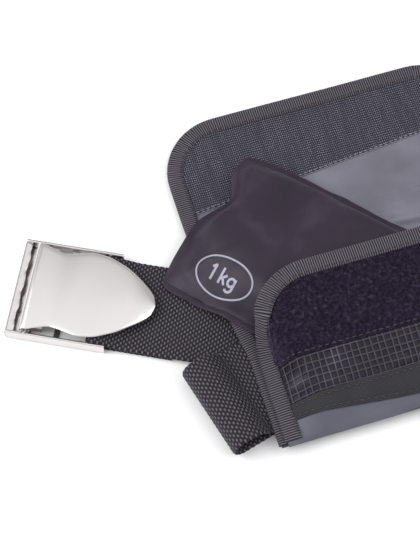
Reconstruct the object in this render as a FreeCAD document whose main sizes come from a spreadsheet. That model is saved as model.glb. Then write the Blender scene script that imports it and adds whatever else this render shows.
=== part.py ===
"""Dive weight belt: a stainless buckle, 50 mm webbing and a band of three weight pockets.

Layout: +X runs along the band from the buckle end to the free tail, +Y across the band from the
pocket bottoms to the flaps, +Z up from the surface that the belt lies on. The sub-parts are drawn
from the bottom left corner of pocket 1; at the end everything is moved so that the origin is the
middle of the belt's footprint.
"""
import FreeCAD, Part
import math
import os

V = FreeCAD.Vector

doc = FreeCAD.newDocument("dive_weight_belt")

# ---------------------------------------------------------------- driving dimensions (mm, degrees)
DIMENSIONS = [
    ("webbing_width", 50.0), ("webbing_thick", 2.0), ("buckle_angle", -27.0),
    ("buckle_pos_x", -107.2), ("buckle_pos_y", 124.3),
    ("frame_long", 52.0), ("frame_wide", 54.0), ("frame_high", 9.5), ("sheet", 1.5),
    ("lever_reach", 74.0), ("lever_hinge_u", 9.5), ("lever_hinge_z", 6.2), ("pin_dia", 3.0),
    ("bar_dia", 3.0), ("bar_u", 45.0), ("bar_z", 4.4),
    ("strap_slot_u", 27.0), ("strap_slot_long", 26.0), ("end_slot_u", 12.0), ("end_slot_long", 12.0),
    ("loop_angle", 15.0), ("loop_pos_x", -34.0), ("loop_pos_y", 26.5), ("loop_high", 17.0),
    ("pocket_pitch", 170.0), ("pocket_wide", 165.0), ("pocket_tall", 85.0), ("mouth_radius", 35.0),
    ("pocket_count", 3.0), ("binding_wide", 9.0), ("cloth", 1.2), ("band_low", 6.7),
    ("front_high", 29.5), ("strip_top", 7.0), ("tape_top", 17.5), ("mesh_top", 37.0),
    ("cover_tall", 102.0),
    ("flap_tall", 82.0), ("flap_radius", 34.0), ("hook_tall", 37.0), ("flap_hinge_y", 109.0),
    ("closed_flap_low", 22.0), ("pouch_long", 125.0), ("pouch_wide", 88.0), ("pouch_high", 17.5),
    ("pouch_rim", 5.0), ("pouch_skin", 0.8), ("pouch_angle", -47.0),
    ("pouch_pos_x", 40.0), ("pouch_pos_y", 91.3), ("tail_long", 300.0),
]

sheet = doc.addObject("Spreadsheet::Sheet", "Dimensions")
for row, (alias, value) in enumerate(DIMENSIONS, start=1):
    sheet.set("A%d" % row, alias)
    sheet.set("B%d" % row, str(value))
    sheet.setAlias("B%d" % row, alias)
doc.recompute()


def dim(alias):
    """Value of a driving dimension."""
    return float(getattr(sheet, alias))


nodes = []


def keep(obj, label, base=V(0, 0, 0), angle=0.0):
    """Register a sub-part under its own label and put it in place."""
    obj.Label = label
    obj.Placement = FreeCAD.Placement(base, FreeCAD.Rotation(V(0, 0, 1), angle))
    nodes.append(obj)
    return obj


def soft(label, shape, base=V(0, 0, 0), angle=0.0):
    """A sewn or moulded piece whose solid is made with Part's own functions."""
    obj = doc.addObject("Part::Feature", label)
    obj.Shape = shape
    return keep(obj, label, base, angle)


# ---------------------------------------------------------------- shared shapes

def box(x0, x1, y0, y1, z0, z1):
    """Box between two corners."""
    return Part.makeBox(x1 - x0, y1 - y0, z1 - z0, V(x0, y0, z0))


def outline(x0, x1, y0, y1, top_radius, bottom_radius=0.0):
    """Closed outline in the XY plane with rounded top and bottom corners."""
    corners = [(x0, y0, bottom_radius, 180), (x1, y0, bottom_radius, 270),
               (x1, y1, top_radius, 0), (x0, y1, top_radius, 90)]
    inward = [(1, 1), (-1, 1), (-1, -1), (1, -1)]
    edges = []
    points = []
    for (x, y, radius, start), (sx, sy) in zip(corners, inward):
        if radius <= 0:
            points.append((V(x, y, 0), None, V(x, y, 0)))
            continue
        centre = V(x + sx * radius, y + sy * radius, 0)
        on_arc = [centre + V(math.cos(math.radians(start + step)),
                             math.sin(math.radians(start + step)), 0) * radius
                  for step in (0, 45, 90)]
        points.append(tuple(on_arc))
    for index, (first, middle, last) in enumerate(points):
        if middle is not None:
            edges.append(Part.Arc(first, middle, last).toShape())
        following = points[(index + 1) % len(points)][0]
        if last.distanceToPoint(following) > 1e-6:
            edges.append(Part.LineSegment(last, following).toShape())
    return Part.Wire(edges)


def prism(wire, low, high):
    """Solid on a flat outline between two heights."""
    face = Part.Face(wire)
    face.translate(V(0, 0, low))
    return face.extrude(V(0, 0, high - low))


def profile_solid(points, width):
    """Solid across the webbing: a closed XZ polygon, extruded and centred on Y."""
    corners = [V(x, -width / 2, z) for x, z in points]
    face = Part.Face(Part.makePolygon(corners + corners[:1]))
    return face.extrude(V(0, width, 0))


def interpolate(table, value):
    """Straight-line value from a short table of (place, height)."""
    for (x0, z0), (x1, z1) in zip(table, table[1:]):
        if value <= x1:
            return z0 + (z1 - z0) * (value - x0) / (x1 - x0)
    return table[-1][1]


def smooth(value):
    """Smooth step from 0 to 1."""
    value = min(1.0, max(0.0, value))
    return value * value * (3 - 2 * value)


# ---------------------------------------------------------------- buckle: frame, lever, pins

wide = dim("frame_wide")
inner = wide / 2 - dim("sheet")
buckle_base = V(dim("buckle_pos_x"), dim("buckle_pos_y"), 0)
buckle_turn = dim("buckle_angle")


def buckle_box(name, length, width, height, x, y, z):
    """Part::Box of the buckle with every size and place bound to the sheet."""
    obj = doc.addObject("Part::Box", name)
    for prop, formula in (("Length", length), ("Width", width), ("Height", height),
                          ("Placement.Base.x", x), ("Placement.Base.y", y), ("Placement.Base.z", z)):
        obj.setExpression(prop, formula)
    return obj


def cross_pin(name, diameter, length, u, z):
    """Round bar across the buckle, centred on its middle line."""
    obj = doc.addObject("Part::Cylinder", name)
    obj.setExpression("Radius", "(%s) / 2" % diameter)
    obj.setExpression("Height", length)
    obj.Placement = FreeCAD.Placement(V(0, 0, 0), FreeCAD.Rotation(V(1, 0, 0), 90))
    obj.setExpression("Placement.Base.x", u)
    obj.setExpression("Placement.Base.y", "(%s) / 2" % length)
    obj.setExpression("Placement.Base.z", z)
    return obj


D = "Dimensions."
plate = buckle_box("FramePlate", D + "frame_long", D + "frame_wide", D + "sheet",
                   "0 mm", "-" + D + "frame_wide / 2", "0 mm")
wall_far = buckle_box("WallFar", D + "frame_long", D + "sheet", D + "frame_high",
                      "0 mm", D + "frame_wide / 2 - " + D + "sheet", "0 mm")
wall_near = buckle_box("WallNear", D + "frame_long", D + "sheet", D + "frame_high",
                       "0 mm", "-" + D + "frame_wide / 2", "0 mm")
end_lip = buckle_box("EndLip", D + "sheet", D + "frame_wide", D + "frame_high * 0.55",
                     "0 mm", "-" + D + "frame_wide / 2", "0 mm")
frame_sheet = doc.addObject("Part::MultiFuse", "FrameSheet")
frame_sheet.Shapes = [plate, wall_far, wall_near, end_lip]
strap_slot = buckle_box("StrapSlot", D + "strap_slot_long", D + "webbing_width + 1", "4",
                        D + "strap_slot_u", "-(" + D + "webbing_width + 1) / 2", "-1")
end_slot = buckle_box("EndSlot", D + "end_slot_long", D + "webbing_width + 1", "4",
                      D + "end_slot_u", "-(" + D + "webbing_width + 1) / 2", "-1")
pin_bore = cross_pin("PinBore", D + "pin_dia", D + "frame_wide + 4",
                     D + "lever_hinge_u", D + "lever_hinge_z")
bar_bore = cross_pin("BarBore", D + "bar_dia", D + "frame_wide + 4", D + "bar_u", D + "bar_z")
frame_holes = doc.addObject("Part::MultiFuse", "FrameHoles")
frame_holes.Shapes = [strap_slot, end_slot, pin_bore, bar_bore]
frame_cut = doc.addObject("Part::Cut", "FrameCut")
frame_cut.Base = frame_sheet
frame_cut.Tool = frame_holes
keep(frame_cut, "buckle_frame", buckle_base, buckle_turn)

hinge_pin = cross_pin("HingePin", D + "pin_dia", D + "frame_wide + 1.4",
                      D + "lever_hinge_u", D + "lever_hinge_z")
strap_bar = cross_pin("StrapBar", D + "bar_dia", D + "frame_wide + 1.4", D + "bar_u", D + "bar_z")
doc.recompute()


def place_pin(pin, label):
    """Turn a cross pin into the buckle's own direction."""
    local = FreeCAD.Placement(pin.Placement)
    for prop in ("Placement.Base.x", "Placement.Base.y", "Placement.Base.z"):
        pin.setExpression(prop, None)
    turn = FreeCAD.Placement(buckle_base, FreeCAD.Rotation(V(0, 0, 1), buckle_turn))
    pin.Label = label
    pin.Placement = turn.multiply(local)
    nodes.append(pin)


place_pin(hinge_pin, "hinge_pin")
place_pin(strap_bar, "strap_bar")


def flat_sketch(body, name, role, height=0.0):
    """Sketch on one of the body's own origin planes."""
    plane = [f for f in body.Origin.OriginFeatures if f.Role == role][0]
    sketch = body.newObject("Sketcher::SketchObject", name)
    sketch.AttachmentSupport = (plane, "")
    sketch.MapMode = "FlatFace"
    sketch.AttachmentOffset = FreeCAD.Placement(V(0, 0, height), FreeCAD.Rotation())
    return sketch


def pad(body, sketch, length, symmetric=False):
    """Pad a sketch; length is a sheet formula."""
    feature = body.newObject("PartDesign::Pad", sketch.Name + "Pad")
    feature.Profile = sketch
    feature.setExpression("Length", length)
    feature.Midplane = symmetric
    return feature


# The lever is a shield: straight over the hinge, drawn in at both shoulders, round at the tip.
lever = doc.addObject("PartDesign::Body", "Lever")
lever_low = dim("frame_high") + 0.3
shield = flat_sketch(lever, "Shield", "XY_Plane", lever_low)
reach = dim("lever_reach")
half = inner - 0.5
shoulder = 0.83 * half
shield_start = dim("lever_hinge_u") - 3.2
upper = [V(shield_start, half, 0), V(shield_start + 5, half, 0), V(shield_start + 15, shoulder, 0),
         V(reach - 22, 0.80 * half, 0), V(reach, 0, 0)]
dip = [V(shield_start + 9, 0.92 * half, 0), V(reach - 35, 0.96 * half, 0),
       V(reach - 7.0, 0.49 * half, 0)]


def mirrored(point):
    return V(point.x, -point.y, 0)


shield.addGeometry(Part.LineSegment(mirrored(upper[0]), upper[0]))
shield.addGeometry(Part.LineSegment(upper[0], upper[1]))
shield.addGeometry(Part.LineSegment(mirrored(upper[1]), mirrored(upper[0])))
for first, middle, last in zip(upper[1:], dip, upper[2:]):
    shield.addGeometry(Part.Arc(first, middle, last))
    shield.addGeometry(Part.Arc(mirrored(last), mirrored(middle), mirrored(first)))
lever_pad = pad(lever, shield, D + "sheet")
knuckle_sketch = flat_sketch(lever, "Knuckle", "XZ_Plane")
knuckle_r = dim("pin_dia") / 2 + 1.2
hinge_u = dim("lever_hinge_u")
hinge_z = dim("lever_hinge_z")
left = V(hinge_u - knuckle_r, hinge_z, 0)
right = V(hinge_u + knuckle_r, hinge_z, 0)
top_left = V(hinge_u - knuckle_r, lever_low + 0.5, 0)
top_right = V(hinge_u + knuckle_r, lever_low + 0.5, 0)
knuckle_sketch.addGeometry(Part.LineSegment(top_right, top_left))
knuckle_sketch.addGeometry(Part.LineSegment(top_left, left))
knuckle_sketch.addGeometry(Part.Arc(left, V(hinge_u, hinge_z - knuckle_r, 0), right))
knuckle_sketch.addGeometry(Part.LineSegment(right, top_right))
knuckle_sketch.addGeometry(Part.Circle(V(hinge_u, hinge_z, 0), V(0, 0, 1), dim("pin_dia") / 2 + 0.06))
knuckle_pad = pad(lever, knuckle_sketch, "2 * %.4f" % (half - 0.3), symmetric=True)
lever.Tip = knuckle_pad
keep(lever, "buckle_lever", buckle_base, buckle_turn)

# The cam edge is a bar of teeth under the lever, clear of the frame's plate.
cam = doc.addObject("PartDesign::Body", "Cam")
teeth = flat_sketch(cam, "Teeth", "XZ_Plane")
cam_u = hinge_u + knuckle_r + 0.2
TOOTH_COUNT = 4
tooth = 1.6
cam_low = 3.6
saw = [V(cam_u, lever_low - 0.1, 0), V(cam_u, cam_low + 1.2, 0)]
for index in range(TOOTH_COUNT):
    saw.append(V(cam_u + (index + 0.5) * tooth, cam_low + 0.4 * index, 0))
    saw.append(V(cam_u + (index + 1) * tooth, cam_low + 1.2 + 0.4 * index, 0))
saw.append(V(cam_u + TOOTH_COUNT * tooth, lever_low - 0.1, 0))
for first, last in zip(saw, saw[1:] + saw[:1]):
    teeth.addGeometry(Part.LineSegment(first, last))
cam_pad = pad(cam, teeth, D + "webbing_width - 4", symmetric=True)
keep(cam, "lever_cam", buckle_base, buckle_turn)

# ---------------------------------------------------------------- webbing

weave = dim("webbing_thick")
web = dim("webbing_width")
strap_low = weave + 0.2

# The sewn end passes over the strap bar and folds back beneath itself.
eye = dim("bar_dia") / 2 + 0.15
eye_z = dim("bar_z")
run_end = 188.0
fold_end = dim("bar_u") + 42.0
bar_u = dim("bar_u")
outer = eye + weave
turn_steps = 10
round_outer = []
round_inner = []
for step in range(turn_steps + 1):
    angle = math.radians(90 + 180 * step / turn_steps)
    round_outer.append((bar_u + outer * math.cos(angle), eye_z + outer * math.sin(angle)))
    round_inner.append((bar_u + eye * math.cos(angle), eye_z + eye * math.sin(angle)))
upper_run = [(bar_u + 14, strap_low + weave), (run_end, strap_low + weave),
             (run_end, strap_low), (bar_u + 10, strap_low)]
lower_run = [(bar_u + 10, weave), (fold_end, weave), (fold_end, 0.05), (bar_u + 4, 0.05)]
eye_profile = (round_outer + lower_run[::-1] + round_inner[::-1] + upper_run[::-1])
soft("buckle_webbing", profile_solid(eye_profile, web), buckle_base, buckle_turn)

# The long webbing's folded end stands out of the pocket's side as a flat, open loop.
loop_end = 96.0
loop_nose = 0.0
loop_high = dim("loop_high")
upper_low = strap_low + weave + 0.2


def loop_section(inset):
    """Half-round nose with arms that close up towards the pocket; inset is the webbing's depth."""
    arc_steps = 12
    centre_z = loop_high / 2
    radius = loop_high / 2 - inset
    nose = []
    for step in range(arc_steps + 1):
        angle = math.radians(90 + 180 * step / arc_steps)
        nose.append((loop_nose + loop_high / 2 + 0.8 * radius * math.cos(angle),
                     centre_z + radius * math.sin(angle)))
    return nose


nose_outer = loop_section(0.0)
nose_inner = loop_section(weave)
arm_shoulder = 12.0
arm_flat = 23.5
arm_top = [(arm_shoulder, loop_high - 0.6), (arm_flat, upper_low + weave), (loop_end, upper_low + weave)]
arm_top_under = [(loop_end, upper_low), (arm_flat - 1.0, upper_low),
                 (arm_shoulder, loop_high - 0.6 - weave)]
arm_low = [(loop_end, 0.0), (loop_end, weave)]
loop_profile = (arm_top[::-1] + nose_outer + arm_low + nose_inner[::-1] + arm_top_under[::-1])
soft("webbing_loop", profile_solid(loop_profile, web),
     V(dim("loop_pos_x"), dim("loop_pos_y"), 0), dim("loop_angle"))

# The long webbing runs behind the pockets and drops to the surface as the free tail.
pitch = dim("pocket_pitch")
pockets = int(dim("pocket_count"))
band_end = pitch * (pockets - 1) + dim("pocket_wide")
belt_start = 66.0
mid_y = 50.0
tail_drop = band_end + 30
tail_end = band_end + dim("tail_long")
tip_long = 6.0
belt_profile = [(belt_start, upper_low), (band_end + 4, upper_low), (tail_drop, 0.0),
                (tail_end - tip_long, 0.0), (tail_end - tip_long, weave), (tail_drop, weave),
                (band_end + 4, upper_low + weave), (belt_start, upper_low + weave)]
soft("belt_webbing", profile_solid(belt_profile, web - 1.0), V(0, mid_y, 0))
tip_profile = [(tail_end - tip_long, 0.0), (tail_end, 0.0), (tail_end, 1.4), (tail_end - tip_long, 1.4)]
tip_solid = profile_solid(tip_profile, web - 1.0)
tip_edges = [e for e in tip_solid.Edges
             if abs(e.Vertexes[0].X - tail_end) < 1e-6 and abs(e.Vertexes[0].Z - e.Vertexes[-1].Z) > 1]
soft("webbing_tip", tip_solid.makeFillet(4.0, tip_edges), V(0, mid_y, 0))

# ---------------------------------------------------------------- pocket band

cloth = dim("cloth")
band_low = dim("band_low")
band_top = band_low + cloth
tall = dim("pocket_tall")
cover = dim("cover_tall")
wide_p = dim("pocket_wide")
hinge_y = dim("flap_hinge_y")
front_low = band_top + 0.8

# The band is a little wider than the fronts and spreads where the open flap leaves it.
band_corners = [V(-3.0, -1.5, 0), V(band_end + 4, -1.5, 0), V(band_end + 4, hinge_y - 2.0, 0),
                V(-12.0, hinge_y - 2.0, 0), V(-3.0, 48.0, 0)]
band_wire = Part.makePolygon(band_corners + band_corners[:1])
soft("back_band", prism(band_wire, band_low, band_top))

sleeve_start = 96.0
sleeve = [(14.0, band_low - 0.05), (18.0, 0.0), (82.0, 0.0), (86.0, band_low - 0.05),
          (84.6, band_low - 0.05), (81.0, 1.2), (19.0, 1.2), (15.4, band_low - 0.05)]
sleeve_corners = [V(sleeve_start, y, z) for y, z in sleeve]
sleeve_face = Part.Face(Part.makePolygon(sleeve_corners + sleeve_corners[:1]))
soft("back_sleeve", sleeve_face.extrude(V(band_end - sleeve_start, 0, 0)))

# Heights of a pocket's front across Y: a half-empty pocket slopes, a full one rises fast.
OPEN_SLOPE = [(0, 0.0), (10, 0.30), (21, 0.56), (46, 0.88), (70, 0.96), (cover, 1.0)]
FULL_SLOPE = [(0, 0.0), (5, 0.32), (11, 0.62), (17, 0.82), (30, 0.95), (46, 1.0), (cover, 1.0)]


def front_height(x, y, slope, lift):
    """Height of a pocket's front above its own corner, lifted clear by `lift`."""
    rise = dim("front_high") - front_low
    edge = 26.0 - 18.0 * smooth((y - 20.0) / 40.0)
    side = smooth(min(x, wide_p - x) / edge)
    return front_low + lift + rise * interpolate(slope, y) * side


def front_shell(slope, lift, thick):
    """Thin solid that follows a pocket's front."""
    columns = [-3, 0, 2, 4, 6, 8, 11, 15, 20, 26, 34, 50, wide_p / 2]
    columns = columns + [wide_p - x for x in columns[-2::-1]]
    rows = [-1, 3, 6, 11, 17, 24, 32, 40, 50, 60, 75, 90, cover + 4]
    grid = [[V(x, y, front_height(max(0, min(wide_p, x)), max(0, y), slope, lift)) for y in rows]
            for x in columns]
    degree = 3
    mults = []
    knots = []
    for count in (len(columns), len(rows)):
        inner_knots = count - degree - 1
        mults.append([degree + 1] + [1] * inner_knots + [degree + 1])
        knots.append([float(k) for k in range(inner_knots + 2)])
    surface = Part.BSplineSurface()
    surface.buildFromPolesMultsKnots(grid, mults[0], mults[1], knots[0], knots[1],
                                     False, False, degree, degree)
    return surface.toShape().extrude(V(0, 0, thick))


def shell_piece(shell, wire):
    """The part of a front shell inside a flat outline."""
    piece = shell.common(prism(wire, -5.0, 60.0))
    return piece.Solids[0] if piece.Solids else piece


def ring_piece(shell, outer_wire, inner_wire):
    """The part of a front shell between two outlines."""
    ring = prism(outer_wire, -5.0, 60.0).cut(prism(inner_wire, -6.0, 61.0))
    return shell.common(ring).Solids[0]


def pocket_front(number, slope):
    """Front panel of one pocket: binding, loop panel, mesh, its backing, tape and bottom strip."""
    base = V((number - 1) * pitch, 0, 0)
    radius = dim("mouth_radius")
    rim = dim("binding_wide")
    shell = front_shell(slope, 0.0, cloth)
    bound = front_shell(slope, -0.3, cloth + 1.3)
    lining = front_shell(slope, -1.3, 0.7)
    whole = outline(0.0, wide_p, 0.0, tall, radius)
    inside = outline(rim, wide_p - rim, -1.0, tall - rim, radius - rim)
    gap = 0.1
    rows = {"bottom_strip": (0.0, dim("strip_top")), "tape_band": (dim("strip_top"), dim("tape_top")),
            "mesh_window": (dim("tape_top"), dim("mesh_top"))}
    soft("pocket_%d_binding" % number, ring_piece(bound, whole, inside), base)
    for name, (low, high) in rows.items():
        wire = outline(rim + gap, wide_p - rim - gap, low + gap, high - gap, 0.0)
        soft("pocket_%d_%s" % (number, name), shell_piece(shell, wire), base)
    wire = outline(rim + gap, wide_p - rim - gap, dim("mesh_top") + gap, tall - rim - gap, radius - rim)
    soft("pocket_%d_loop_panel" % number, shell_piece(shell, wire), base)
    wire = outline(rim + gap, wide_p - rim - gap, dim("tape_top"), dim("mesh_top"), 0.0)
    soft("pocket_%d_mesh_backing" % number, shell_piece(lining, wire), base)


def open_flap(number):
    """Flap folded back flat on the surface, lining and hook strip upwards."""
    base = V((number - 1) * pitch, 0, 0)
    rim = dim("binding_wide")
    low = hinge_y + 1.0
    top = low + dim("flap_tall")
    radius = dim("flap_radius")
    whole = outline(-14.0, wide_p + 2.0, low, top, radius)
    inside = outline(-14.0 + rim, wide_p + 2.0 - rim, low - 1.0, top - rim, radius - rim)
    ring = prism(whole, 0.0, 3.6).cut(prism(inside, -1.0, 5.0))
    soft("flap_%d_binding" % number, ring, base)
    left = -14.0 + rim + 0.1
    right = wide_p + 2.0 - rim - 0.1
    upper = top - rim - 0.1
    panel = outline(left, right, low, upper, radius - rim)
    soft("flap_%d_panel" % number, prism(panel, 0.0, 1.0), base)
    hook_low = upper - dim("hook_tall")
    lining = outline(left, right, low, hook_low - 0.1, 0.0)
    soft("flap_%d_lining" % number, prism(lining, 1.1, 2.2), base)
    hook = outline(left, right, hook_low, upper, radius - rim)
    soft("flap_%d_hook_strip" % number, prism(hook, 1.1, 3.0), base)


def closed_flap(number, slope):
    """Flap folded over a full pocket, hook strip downwards on the loop panel."""
    base = V((number - 1) * pitch, 0, 0)
    rim = dim("binding_wide")
    low = dim("closed_flap_low")
    top = cover + 2.0
    radius = dim("flap_radius")
    strip = front_shell(slope, 2.8, 1.2)
    panel = front_shell(slope, 4.1, 1.2)
    bound = front_shell(slope, 3.0, 2.8)
    whole = flipped(outline(-1.0, wide_p + 1.0, -top, -low, radius))
    inside = flipped(outline(rim - 1.0, wide_p + 1.0 - rim, -top - 1.0, -low - rim, radius - rim))
    soft("flap_%d_binding" % number, ring_piece(bound, whole, inside), base)
    wire = flipped(outline(rim - 0.9, wide_p + 0.9 - rim, -top, -low - rim - 0.1, radius - rim))
    soft("flap_%d_panel" % number, shell_piece(panel, wire), base)
    hook_top = low + rim + dim("hook_tall")
    wire = flipped(outline(rim - 0.9, wide_p + 0.9 - rim, -hook_top, -low - rim - 0.1, radius - rim))
    soft("flap_%d_hook_strip" % number, shell_piece(strip, wire), base)
    wire = outline(rim - 0.9, wide_p + 0.9 - rim, hook_top + 0.1, top, 0.0)
    soft("flap_%d_lining" % number, shell_piece(strip, wire), base)
    wall = box(1.0, wide_p - 1.0, hinge_y - 3.4, hinge_y - 2.2, band_top, dim("front_high") - 1.0)
    soft("pocket_%d_top_wall" % number, wall, base)


def flipped(wire):
    """Mirror an outline across the X axis."""
    return wire.mirror(V(0, 0, 0), V(0, 1, 0))


def pouch_body(inset):
    """Solid of a filled pouch above its flat base, drawn in by `inset` on every side."""
    rim = dim("pouch_rim")
    high = dim("pouch_high") - inset
    long_half = dim("pouch_long") / 2 - rim - inset
    wide_half = dim("pouch_wide") / 2 - rim - inset
    rings = [(0.0, 0.0), (0.48, 4.0), (0.82, 12.0), (1.0, 24.0)]
    wires = []
    for share, draw in rings:
        wire = outline(-long_half + draw, long_half - draw, -wide_half + draw, wide_half - draw,
                       11.0, 11.0)
        wire.translate(V(0, 0, inset + share * (high - inset)))
        wires.append(wire)
    return Part.makeLoft(wires, True, True)


def pouch(number, centre, angle):
    """Soft shot pouch: a cover with a flat sewn rim, and the shot that fills it."""
    rim_wire = outline(-dim("pouch_long") / 2, dim("pouch_long") / 2,
                       -dim("pouch_wide") / 2, dim("pouch_wide") / 2, 6.0, 6.0)
    skin = dim("pouch_skin")
    cover = prism(rim_wire, 0.0, 1.6).fuse(pouch_body(0.0)).cut(pouch_body(skin))
    base = V(centre.x, centre.y, front_low)
    soft("pouch_%d_cover" % number, cover.removeSplitter(), base, angle)
    soft("pouch_%d_shot" % number, pouch_body(skin + 0.1), base, angle)


open_pouch_centre = V(dim("pouch_pos_x"), dim("pouch_pos_y"), 0)
pocket_front(1, OPEN_SLOPE)
open_flap(1)
pouch(1, open_pouch_centre, dim("pouch_angle"))
for pocket_number in range(2, pockets + 1):
    pocket_front(pocket_number, FULL_SLOPE)
    closed_flap(pocket_number, FULL_SLOPE)
    pouch(pocket_number, V((pocket_number - 1) * pitch + wide_p / 2, 51.0, 0), 0.0)

# ---------------------------------------------------------------- origin, checks and files

doc.recompute()
span = FreeCAD.BoundBox()
for node in nodes:
    span.add(node.Shape.optimalBoundingBox(False))
shift = V(-span.Center.x, -span.Center.y, 0)
for node in nodes:
    node.Placement.Base = node.Placement.Base + shift
doc.recompute()
print("shift", round(shift.x, 4), round(shift.y, 4), round(shift.z, 4),
      "size", round(span.XLength, 2), round(span.YLength, 2), round(span.ZLength, 2))

for obj in doc.Objects:
    if "Invalid" in obj.State or "Error" in obj.State:
        raise RuntimeError("%s is in state %s" % (obj.Label, obj.State))
for node in nodes:
    if node.Shape.isNull() or not node.Shape.isValid() or not node.Shape.Solids:
        raise RuntimeError("%s has no valid solid" % node.Label)

os.makedirs("parts", exist_ok=True)
for node in nodes:
    node.Shape.exportStep("parts/%s.step" % node.Label)
    print(node.Label, len(node.Shape.Solids), round(node.Shape.Volume, 1))
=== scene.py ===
"""Dive weight belt: the looks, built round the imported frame.

Drawing helpers work in millimetres from the bottom left corner of pocket 1, as the belt lies;
place() turns them into the frame's metres. Every length below is real size.
"""
import bmesh
import bpy
import math
import numpy as np
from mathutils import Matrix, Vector


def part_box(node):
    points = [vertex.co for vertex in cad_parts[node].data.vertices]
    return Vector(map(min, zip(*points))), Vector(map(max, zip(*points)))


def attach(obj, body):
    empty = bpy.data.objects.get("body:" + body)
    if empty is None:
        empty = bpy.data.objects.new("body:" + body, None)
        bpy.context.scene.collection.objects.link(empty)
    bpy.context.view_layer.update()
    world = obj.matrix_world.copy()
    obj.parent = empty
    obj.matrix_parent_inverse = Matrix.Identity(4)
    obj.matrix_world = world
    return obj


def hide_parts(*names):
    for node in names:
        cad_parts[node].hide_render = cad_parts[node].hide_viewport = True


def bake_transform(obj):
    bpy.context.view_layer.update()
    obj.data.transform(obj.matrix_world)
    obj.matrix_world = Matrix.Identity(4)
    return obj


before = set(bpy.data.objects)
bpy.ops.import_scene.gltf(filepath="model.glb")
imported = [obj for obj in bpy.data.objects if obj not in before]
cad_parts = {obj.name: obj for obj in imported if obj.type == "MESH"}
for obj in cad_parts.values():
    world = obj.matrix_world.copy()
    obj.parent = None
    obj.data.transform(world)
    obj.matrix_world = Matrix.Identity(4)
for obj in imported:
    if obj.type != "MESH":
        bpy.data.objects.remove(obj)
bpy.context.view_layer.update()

UP = np.array((0.0, 0.0, 1.0))
PER_METRE = 1000.0

# ---------------------------------------------------------------- sizes, millimetres and degrees

# Pockets and flaps, up from pocket 1's lower edge: PITCH from one pocket to the next, WIDE and TALL for a
# front, RIM for the binding's width, then the heights where one cloth of the front gives way to the next.
PITCH = 170.0
WIDE = 165.0
TALL = 85.0
COVER = 102.0
RIM = 9.0
MOUTH_RADIUS = 35.0
FLAP_RADIUS = 34.0
STRIP_TOP = 7.0
TAPE_TOP = 17.5
MESH_TOP = 37.0
BAND_TOP = 7.9
FRONT_LOW = 8.7
FRONT_HIGH = 29.5
HINGE_Y = 109.0
FLAP_TOP = 192.0
HOOK_TALL = 37.0
CLOSED_LOW = 22.0
# Lifts of a closed flap's outer cloth and of the cloths inside it above the pocket's front.
OUTER_LIFT = 5.4
INNER_LIFT = 3.9
# Binding ribs and the steps of paths and seams.
RIB_PITCH = 1.25
PATH_STEP = 0.31
SEAM_STEP = 0.5
SEAM_IN = RIM - 1.4
# Webbing, its thread floats, and the heights at which it lies.
WEB = 50.0
WEB_THICK = 2.0
FLOAT_WIDE = 1.5
FLOAT_LONG = 2.7
STRAP_LOW = 2.2
UPPER_LOW = 4.4
# Buckle frame and lever; the pins are (along, height) in the buckle.
FRAME_LONG = 51.9
FRAME_HALF = 25.6
LIP_HALF = 26.6
LEVER_HALF = 23.6
WALL_HIGH = 7.7
WALL_THICK = 1.4
HINGE_PIN = (9.5, 6.2)
STRAP_BAR = (45.0, 4.4)
# Places (x, y, degrees) of the buckle, the side loop and the half-out pouch, with their sizes.
BUCKLE = (-107.2, 124.3, -27.0)
LOOP = (-34.0, 26.5, 15.0)
LOOP_HIGH = 17.0
POUCH = (40.0, 91.3, -47.0)
POUCH_LONG = 125.0
POUCH_WIDE = 88.0
POUCH_HIGH = 17.5
SKIN_LONG = POUCH_LONG / 2 - 2.6
SKIN_WIDE = POUCH_WIDE / 2 - 2.6
BLOWN_FRAME = 20

band_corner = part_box("back_band")[0]
ORIGIN = np.array([band_corner[0] + 0.012, band_corner[1] + 0.0015, 0.0])


def place(points):
    """Millimetres on the belt to the frame's metres."""
    return np.asarray(points, dtype=float) / PER_METRE + ORIGIN


def joined(*coordinates):
    """Points from their coordinates, each a number or an array."""
    return np.stack(np.broadcast_arrays(*coordinates), axis=-1)


def turned(points, spot):
    """Points drawn along +X, turned and moved to a spot (x, y, degrees)."""
    points = np.array(points, dtype=float)
    angle = math.radians(spot[2])
    out = points.copy()
    out[..., 0] = spot[0] + points[..., 0] * math.cos(angle) - points[..., 1] * math.sin(angle)
    out[..., 1] = spot[1] + points[..., 0] * math.sin(angle) + points[..., 1] * math.cos(angle)
    return out


# ---------------------------------------------------------------- materials

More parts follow.
